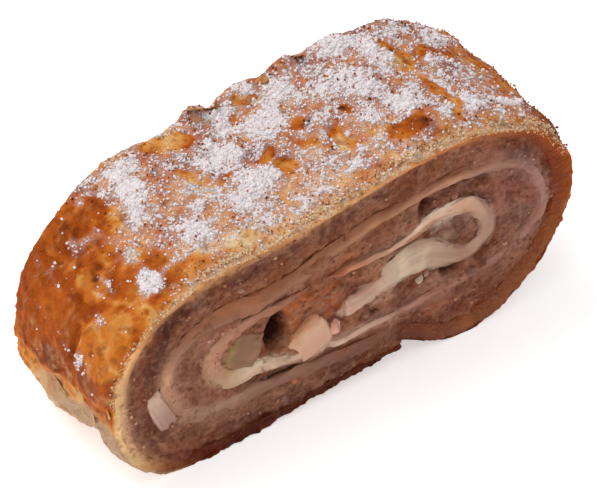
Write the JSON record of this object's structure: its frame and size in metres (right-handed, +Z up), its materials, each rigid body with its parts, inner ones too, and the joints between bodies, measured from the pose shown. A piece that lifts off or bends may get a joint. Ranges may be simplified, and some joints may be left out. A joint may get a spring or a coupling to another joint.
{
  "type": "walnut strudel slice",
  "caption": "Slice of a baked pastry roll, cut across on both sides so that its spiral of dough and brown nut filling shows; lies on its flat underside.",
  "frame": {"origin": "middle of the footprint, on the surface that the slice rests on", "axes": "+X along the width of the roll's section, +Y from the front knife cut to the rear one, +Z up"},
  "size_m": [0.117, 0.042, 0.0552],
  "materials": {
    "baked_dough": "golden brown baked crust with powdered sugar outside, pale soft dough at the cuts",
    "walnut_filling": "moist purple-brown ground walnut paste with crumbs and nut pieces",
    "stewed_fruit": "soft glossy cooked fruit, cream to greenish"
  },
  "bodies": {
    "root": {"pastry_roll": "baked_dough", "walnut_filling": "walnut_filling", "fruit_dice_pale": "stewed_fruit", "fruit_dice_green": "stewed_fruit", "fruit_sliver": "stewed_fruit", "fruit_dice_rear": "stewed_fruit", "fruit_dice_rear_small": "stewed_fruit"}
  },
  "joints": []
}
